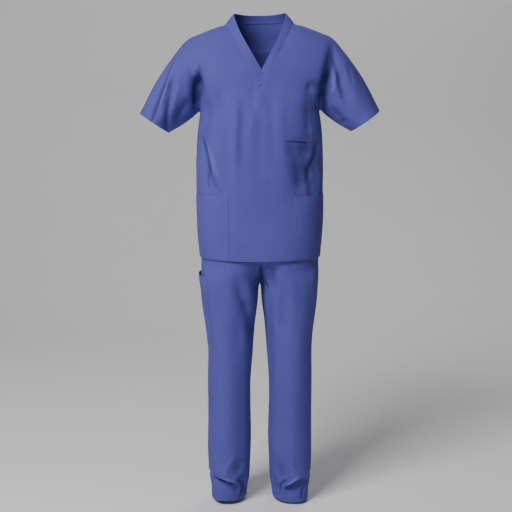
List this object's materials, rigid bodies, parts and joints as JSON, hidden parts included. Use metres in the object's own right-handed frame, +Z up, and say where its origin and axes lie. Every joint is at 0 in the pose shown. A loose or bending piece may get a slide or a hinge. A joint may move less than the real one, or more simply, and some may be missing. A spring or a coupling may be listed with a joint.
{
  "type": "medical scrubs",
  "caption": "Unisex medical scrubs worn by nobody: a short-sleeved V-neck top with patch pockets, hanging over straight trousers with a side cargo pocket.",
  "frame": {"origin": "midway between the neck ends of the two shoulder seams, at the seams' height, where the wearer's shoulders carry the top", "axes": "+Z is up, -Y is the front and +X is the wearer's left"},
  "size_m": [0.7056, 0.271, 1.4621],
  "materials": {
    "top_cloth": "matt woven poplin with a faint sheen",
    "trouser_cloth": "matt woven poplin with a faint sheen",
    "band_cloth": "the same poplin, folded double"
  },
  "bodies": {
    "root": {"top_front": "top_cloth", "top_back": "top_cloth", "sleeve_left": "top_cloth", "sleeve_right": "top_cloth", "neckband": "band_cloth", "chest_pocket": "top_cloth", "lower_pocket_left": "top_cloth", "lower_pocket_right": "top_cloth", "trouser_front_left": "trouser_cloth", "trouser_front_right": "trouser_cloth", "trouser_back_left": "trouser_cloth", "trouser_back_right": "trouser_cloth", "waistband": "band_cloth", "cargo_pocket": "trouser_cloth"}
  },
  "joints": []
}
